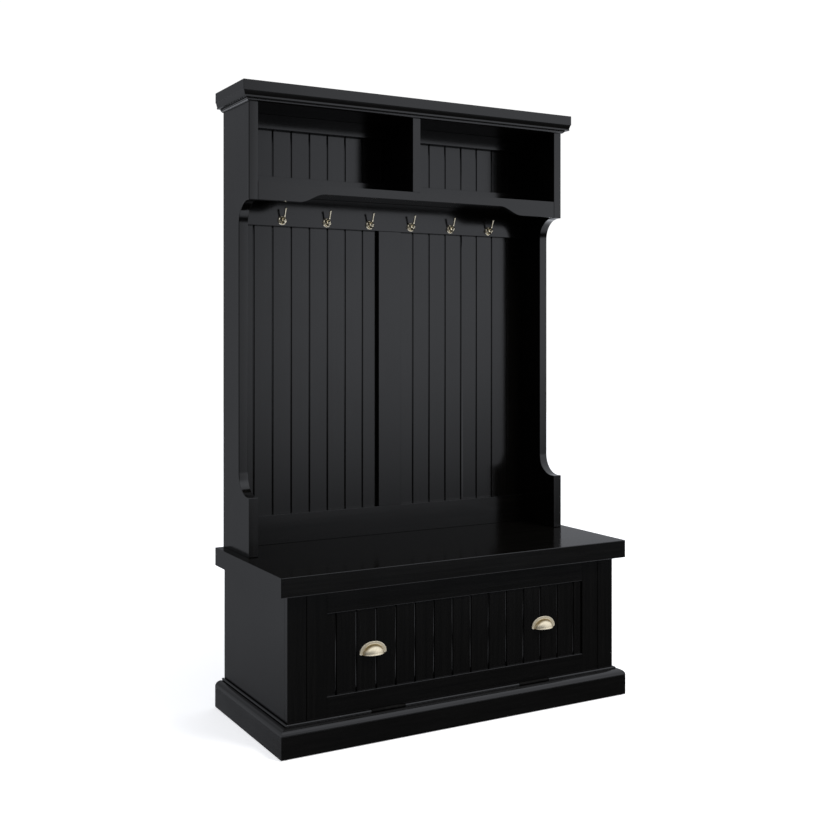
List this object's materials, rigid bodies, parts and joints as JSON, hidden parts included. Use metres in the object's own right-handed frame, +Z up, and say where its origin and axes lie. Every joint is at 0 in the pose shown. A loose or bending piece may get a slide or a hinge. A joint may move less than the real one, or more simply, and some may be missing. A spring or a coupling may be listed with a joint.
{
  "type": "hall tree",
  "caption": "Hall tree with a drop-front storage bench, a beadboard back with a row of double coat hooks, and open cubbies under a moulded crown.",
  "frame": {"origin": "on the floor, under the middle of the bench: centre of the bounding box's bottom face", "axes": "+X to the right as seen from the front, +Y from the front to the back, +Z up; the door and hooks face -Y"},
  "size_m": [1.2, 0.533, 1.92],
  "materials": {
    "painted_wood": "satin black paint over MDF and solid wood, edges eased",
    "painted_beadboard": "satin black paint over grooved beadboard",
    "brass_hardware": "pale satin brass",
    "black_hinge": "black lacquered steel",
    "zinc_steel": "zinc-plated steel",
    "catch_plastic": "moulded dark plastic",
    "glide_plastic": "hard nylon glide"
  },
  "bodies": {
    "cabinet": {"crown_board": "painted_wood", "crown_moulding_front": "painted_wood", "crown_moulding_left": "painted_wood", "crown_moulding_right": "painted_wood", "hutch_top_panel": "painted_wood", "hutch_side_left": "painted_wood", "hutch_side_right": "painted_wood", "cubby_divider": "painted_wood", "cubby_shelf": "painted_wood", "shelf_valance": "painted_wood", "cubby_top_rail": "painted_wood", "cubby_bottom_rail": "painted_wood", "hook_rail": "painted_wood", "back_centre_stile": "painted_wood", "back_bottom_rail": "painted_wood", "beadboard_left": "painted_beadboard", "beadboard_right": "painted_beadboard", "coat_hook_1": "brass_hardware", "coat_hook_2": "brass_hardware", "coat_hook_3": "brass_hardware", "coat_hook_4": "brass_hardware", "coat_hook_5": "brass_hardware", "coat_hook_6": "brass_hardware", "hook_screws": "brass_hardware", "hutch_brackets": "zinc_steel", "bracket_screws": "zinc_steel", "seat_top": "painted_wood", "bench_side_left": "painted_wood", "bench_side_right": "painted_wood", "bench_back_panel": "painted_wood", "bench_floor": "painted_wood", "floor_support": "painted_wood", "face_stile_left": "painted_wood", "face_stile_right": "painted_wood", "seat_front_stretcher": "painted_wood", "seat_rear_stretcher": "painted_wood", "base_board_front": "painted_wood", "base_board_left": "painted_wood", "base_board_right": "painted_wood", "base_moulding_front": "painted_wood", "base_moulding_left": "painted_wood", "base_moulding_right": "painted_wood", "floor_glides": "glide_plastic", "hinge_frame_leaves": "black_hinge", "hinge_pins": "black_hinge", "hinge_frame_screws": "zinc_steel", "magnetic_catches": "catch_plastic"},
    "door": {"door_stile_left": "painted_wood", "door_stile_right": "painted_wood", "door_rail_top": "painted_wood", "door_rail_bottom": "painted_wood", "door_beadboard": "painted_beadboard", "cup_pull_left": "brass_hardware", "cup_pull_right": "brass_hardware", "pull_screws": "zinc_steel", "hinge_door_leaves": "black_hinge", "hinge_door_screws": "zinc_steel", "catch_strikes": "zinc_steel"}
  },
  "joints": [
    {"name": "door_hinge", "type": "hinge", "parent": "cabinet", "child": "door", "pos_m": [0, -0.2405, 0.085], "axis": [1, 0, 0], "range_deg": [0, 90]}
  ]
}
